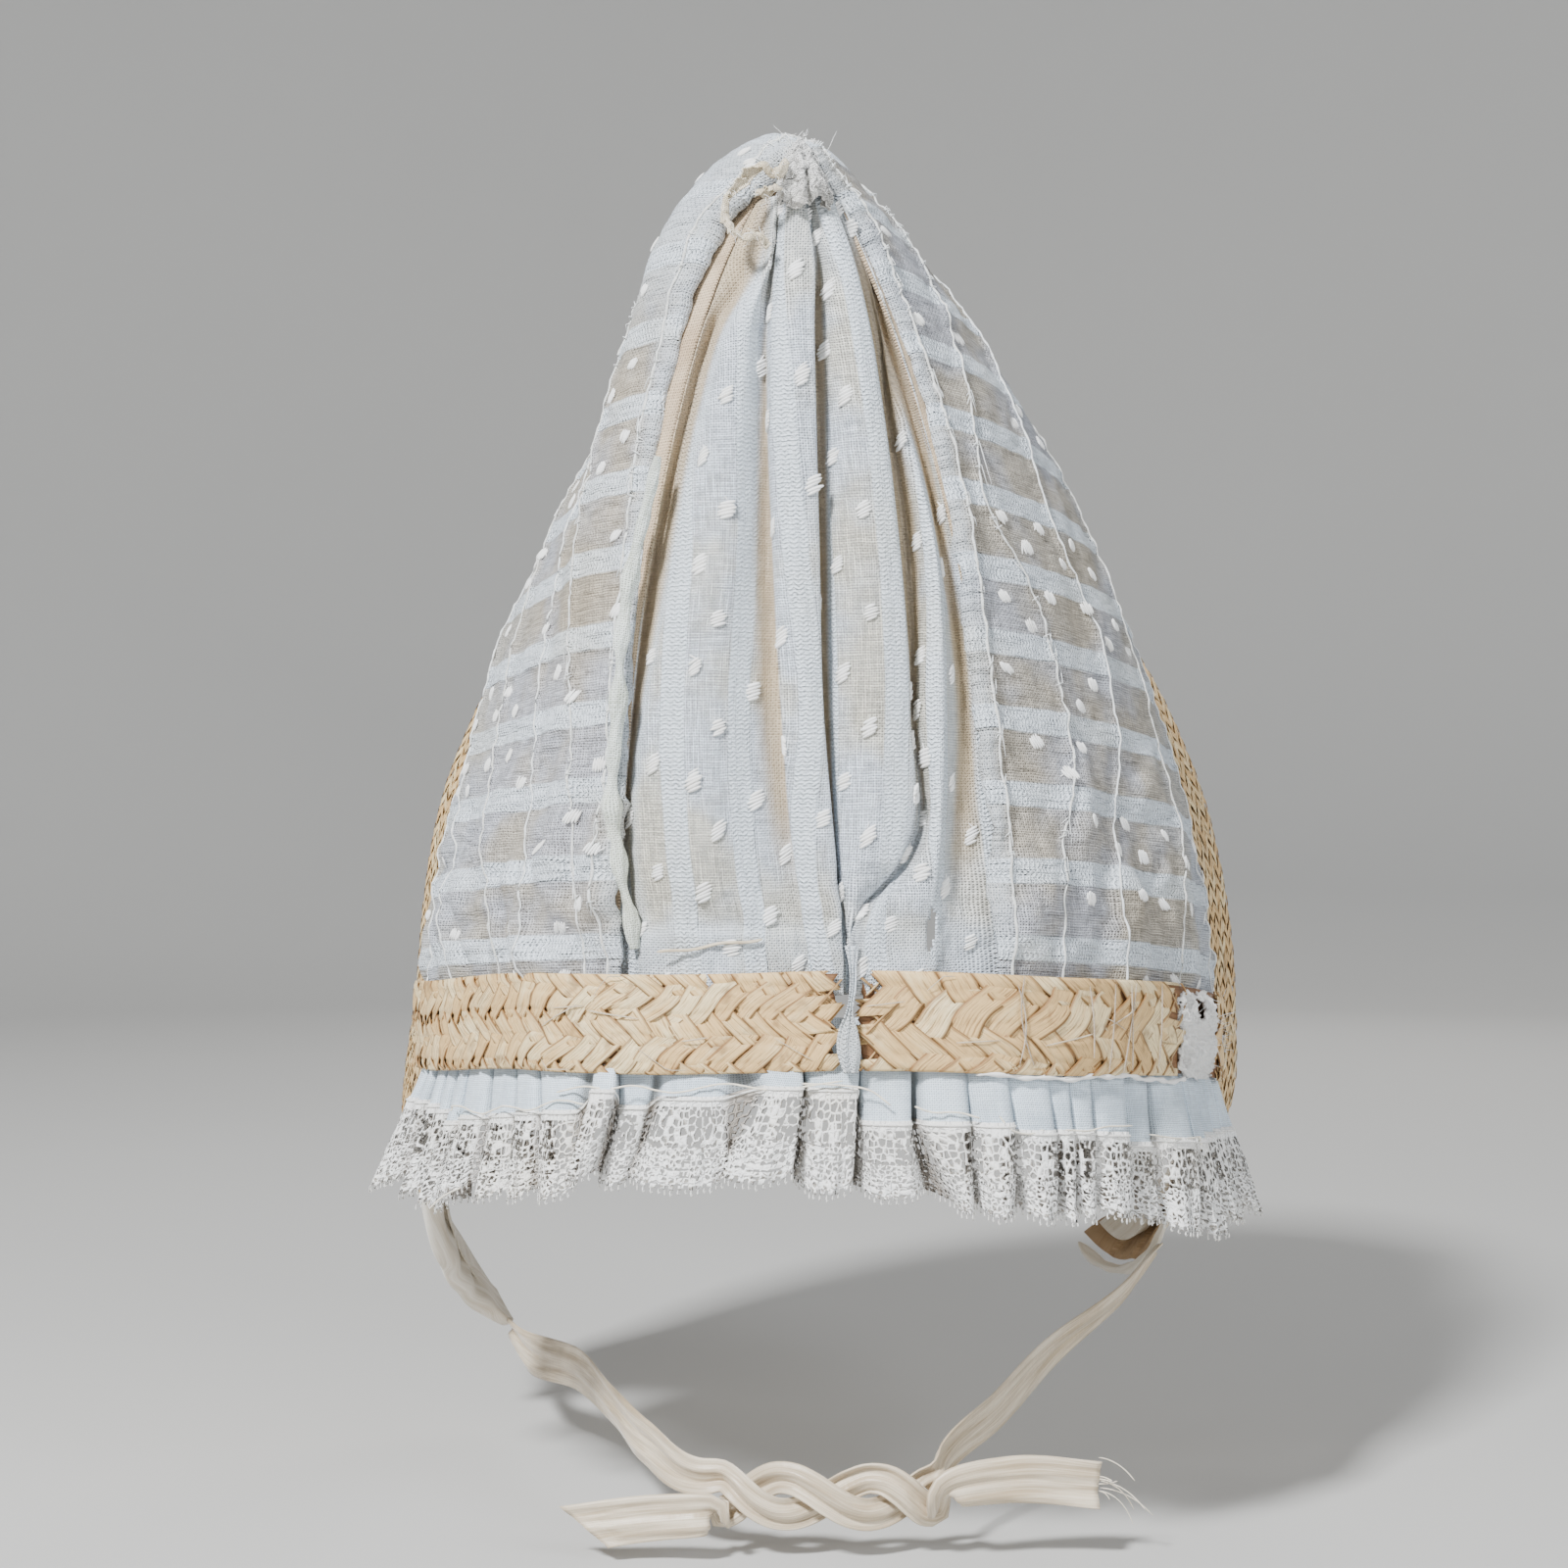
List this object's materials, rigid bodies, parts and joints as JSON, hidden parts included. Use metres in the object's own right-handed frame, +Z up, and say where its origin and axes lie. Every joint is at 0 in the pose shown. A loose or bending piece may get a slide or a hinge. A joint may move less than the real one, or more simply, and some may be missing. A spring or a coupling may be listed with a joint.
{
  "type": "poke bonnet",
  "caption": "Historic costume bonnet: a tall corded muslin crown with a gathered back panel, a flared plaited straw brim, a pleated frill with a lace edging, and satin ties in a half knot.",
  "frame": {"origin": "the point inside the crown that rests on top of the wearer's head", "axes": "+Y is the way the face looks, +X is to the right of someone behind the bonnet, +Z is up"},
  "size_m": [0.2794, 0.2376, 0.3839],
  "materials": {
    "muslin": "sheer off-white muslin with woven satin stripes and oval spots",
    "straw": "plaited straw, pale gold with brown cracks",
    "foundation": "stiff tan net, matt",
    "silk": "cream satin with a soft sheen",
    "lace": "white cotton lace, matt",
    "wadding": "white cotton wadding, matt"
  },
  "bodies": {
    "root": {"crown_foundation": "foundation", "crown_cover": "muslin", "back_panel": "muslin", "apex_knot": "muslin", "straw_brim": "straw", "brim_lining": "silk", "corner_binding": "silk", "straw_band_left": "straw", "straw_band_right": "straw", "gather_tab": "muslin", "wadding_tuft": "wadding", "frill": "muslin", "lace_edging": "lace", "tie_left": "silk", "tie_right": "silk"}
  },
  "joints": []
}
